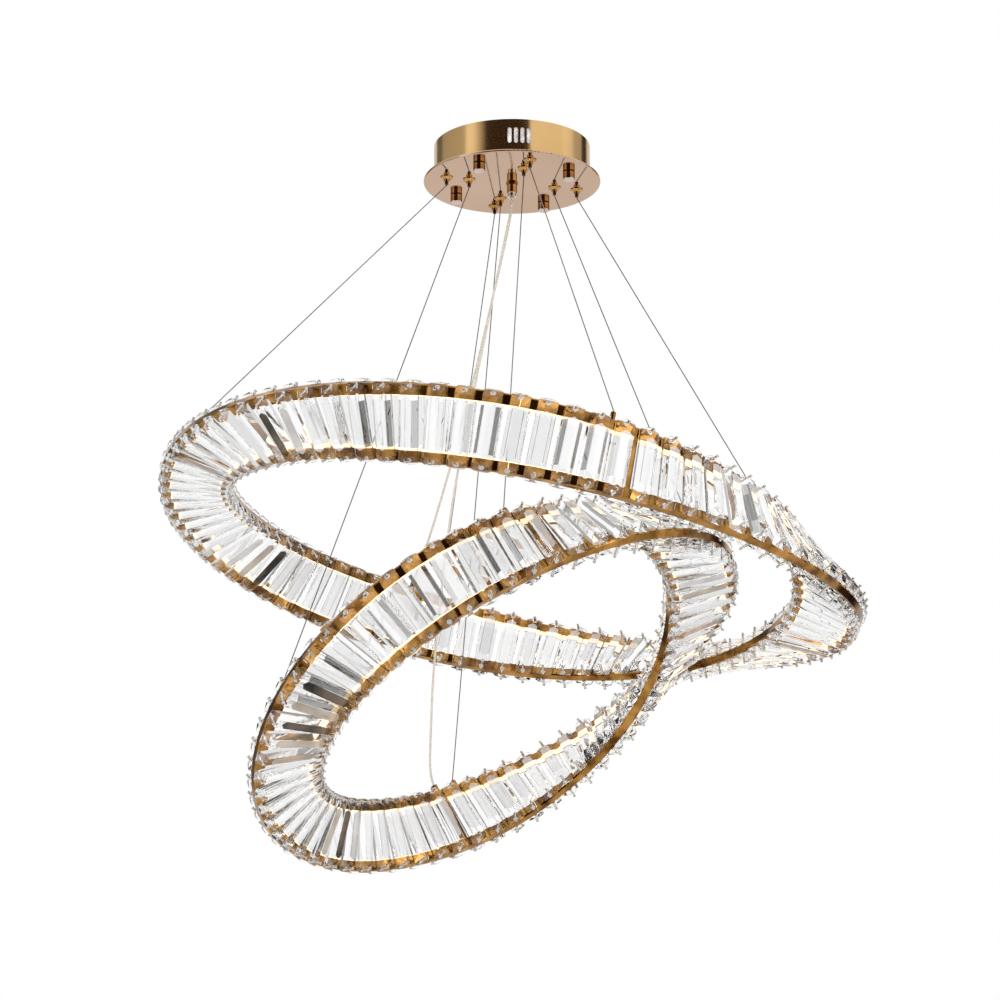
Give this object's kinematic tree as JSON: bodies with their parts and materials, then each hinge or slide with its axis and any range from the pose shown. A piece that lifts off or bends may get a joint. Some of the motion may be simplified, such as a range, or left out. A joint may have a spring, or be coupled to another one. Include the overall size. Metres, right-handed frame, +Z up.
{
  "type": "pendant light",
  "caption": "Ring chandelier: twisted gold ring bands dressed with clear crystal bars and LED strips, hung on steel wires from a low round gold ceiling canopy",
  "frame": {"origin": "middle of the ceiling face of the mounting bracket", "axes": "+Z up, +X right and +Y away from the viewer of the picture"},
  "size_m": [0.7812, 0.7636, 0.8151],
  "materials": {
    "gold_drum": "satin gold",
    "rose_gold_mirror": "mirror polished rose gold",
    "polished_gold": "polished gold",
    "rail_gold": "polished gold",
    "crystal": "clear, faceted",
    "pin_chrome": "polished",
    "led_strip": "silicone, lit warm white",
    "clear_cord": "translucent",
    "steel_wire": "bright steel",
    "zinc": "zinc plated",
    "driver_white": "white moulding",
    "terminal_white": "white moulding"
  },
  "bodies": {
    "canopy": {"bracket_studs": "zinc", "canopy_drum": "gold_drum", "canopy_plate": "rose_gold_mirror", "ceiling_bracket": "zinc", "cord_gland_body": "polished_gold", "cord_gland_locknut": "zinc", "cord_tails": "clear_cord", "driver_screws": "zinc", "earth_screw": "zinc", "gripper_bodies": "polished_gold", "gripper_locknuts": "zinc", "gripper_spring_1": "steel_wire", "gripper_spring_2": "steel_wire", "gripper_spring_3": "steel_wire", "gripper_spring_4": "steel_wire", "gripper_spring_5": "steel_wire", "gripper_spring_6": "steel_wire", "gripper_spring_7": "steel_wire", "gripper_spring_8": "steel_wire", "large_ring_cord": "clear_cord", "large_ring_wires": "steel_wire", "led_driver_large": "driver_white", "led_driver_small": "driver_white", "small_ring_cord": "clear_cord", "small_ring_wires": "steel_wire", "terminal_block": "terminal_white", "wire_tails": "steel_wire"},
    "cap_nut_1": {"cap_nut_1": "polished_gold"},
    "cap_nut_2": {"cap_nut_2": "polished_gold"},
    "cap_nut_3": {"cap_nut_3": "polished_gold"},
    "cap_nut_4": {"cap_nut_4": "polished_gold"},
    "gland_nut": {"cord_gland_nut": "polished_gold"},
    "plunger_1": {"gripper_plunger_1": "polished_gold"},
    "plunger_2": {"gripper_plunger_2": "polished_gold"},
    "plunger_3": {"gripper_plunger_3": "polished_gold"},
    "plunger_4": {"gripper_plunger_4": "polished_gold"},
    "plunger_5": {"gripper_plunger_5": "polished_gold"},
    "plunger_6": {"gripper_plunger_6": "polished_gold"},
    "plunger_7": {"gripper_plunger_7": "polished_gold"},
    "plunger_8": {"gripper_plunger_8": "polished_gold"},
    "large_ring": {"large_rail_a": "rail_gold", "large_rail_b": "rail_gold", "large_led_strip_a": "led_strip", "large_led_strip_b": "led_strip", "large_posts": "rail_gold", "large_crystals_front": "crystal", "large_crystals_back": "crystal", "large_crystal_pins": "pin_chrome", "large_wire_anchors": "rail_gold", "large_cord_entry": "rail_gold"},
    "small_ring": {"small_rail_a": "rail_gold", "small_rail_b": "rail_gold", "small_led_strip_a": "led_strip", "small_led_strip_b": "led_strip", "small_posts": "rail_gold", "small_crystals_front": "crystal", "small_crystals_back": "crystal", "small_crystal_pins": "pin_chrome", "small_wire_anchors": "rail_gold", "small_cord_entry": "rail_gold"}
  },
  "joints": [
    {"name": "cap_nut_1_turn", "type": "hinge", "parent": "canopy", "child": "cap_nut_1", "pos_m": [0.037, 0.06409, -0.048], "axis": [0, 0, 1], "continuous": true},
    {"name": "cap_nut_2_turn", "type": "hinge", "parent": "canopy", "child": "cap_nut_2", "pos_m": [-0.06409, 0.037, -0.048], "axis": [0, 0, 1], "continuous": true},
    {"name": "cap_nut_3_turn", "type": "hinge", "parent": "canopy", "child": "cap_nut_3", "pos_m": [-0.037, -0.06409, -0.048], "axis": [0, 0, 1], "continuous": true},
    {"name": "cap_nut_4_turn", "type": "hinge", "parent": "canopy", "child": "cap_nut_4", "pos_m": [0.06409, -0.037, -0.048], "axis": [0, 0, 1], "continuous": true},
    {"name": "gland_nut_turn", "type": "hinge", "parent": "canopy", "child": "gland_nut", "pos_m": [0, 0, -0.052], "axis": [0, 0, 1], "continuous": true},
    {"name": "plunger_1_press", "type": "slide", "parent": "canopy", "child": "plunger_1", "axis": [0, 0, 1], "range_m": [0, 0.002], "stiffness_N_per_m": 500, "springref_m": -0.004, "deforming": ["gripper_spring_1"]},
    {"name": "plunger_2_press", "type": "slide", "parent": "canopy", "child": "plunger_2", "axis": [0, 0, 1], "range_m": [0, 0.002], "stiffness_N_per_m": 500, "springref_m": -0.004, "deforming": ["gripper_spring_2"]},
    {"name": "plunger_3_press", "type": "slide", "parent": "canopy", "child": "plunger_3", "axis": [0, 0, 1], "range_m": [0, 0.002], "stiffness_N_per_m": 500, "springref_m": -0.004, "deforming": ["gripper_spring_3"]},
    {"name": "plunger_4_press", "type": "slide", "parent": "canopy", "child": "plunger_4", "axis": [0, 0, 1], "range_m": [0, 0.002], "stiffness_N_per_m": 500, "springref_m": -0.004, "deforming": ["gripper_spring_4"]},
    {"name": "plunger_5_press", "type": "slide", "parent": "canopy", "child": "plunger_5", "axis": [0, 0, 1], "range_m": [0, 0.002], "stiffness_N_per_m": 500, "springref_m": -0.004, "deforming": ["gripper_spring_5"]},
    {"name": "plunger_6_press", "type": "slide", "parent": "canopy", "child": "plunger_6", "axis": [0, 0, 1], "range_m": [0, 0.002], "stiffness_N_per_m": 500, "springref_m": -0.004, "deforming": ["gripper_spring_6"]},
    {"name": "plunger_7_press", "type": "slide", "parent": "canopy", "child": "plunger_7", "axis": [0, 0, 1], "range_m": [0, 0.002], "stiffness_N_per_m": 500, "springref_m": -0.004, "deforming": ["gripper_spring_7"]},
    {"name": "plunger_8_press", "type": "slide", "parent": "canopy", "child": "plunger_8", "axis": [0, 0, 1], "range_m": [0, 0.002], "stiffness_N_per_m": 500, "springref_m": -0.004, "deforming": ["gripper_spring_8"]},
    {"name": "large_ring_height", "type": "slide", "parent": "canopy", "child": "large_ring", "axis": [0, 0, 1], "range_m": [0, 0.15], "deforming": ["large_ring_wires", "large_ring_cord"]},
    {"name": "small_ring_height", "type": "slide", "parent": "canopy", "child": "small_ring", "axis": [0, 0, 1], "range_m": [-0.3, 0], "deforming": ["small_ring_wires", "small_ring_cord"]}
  ]
}
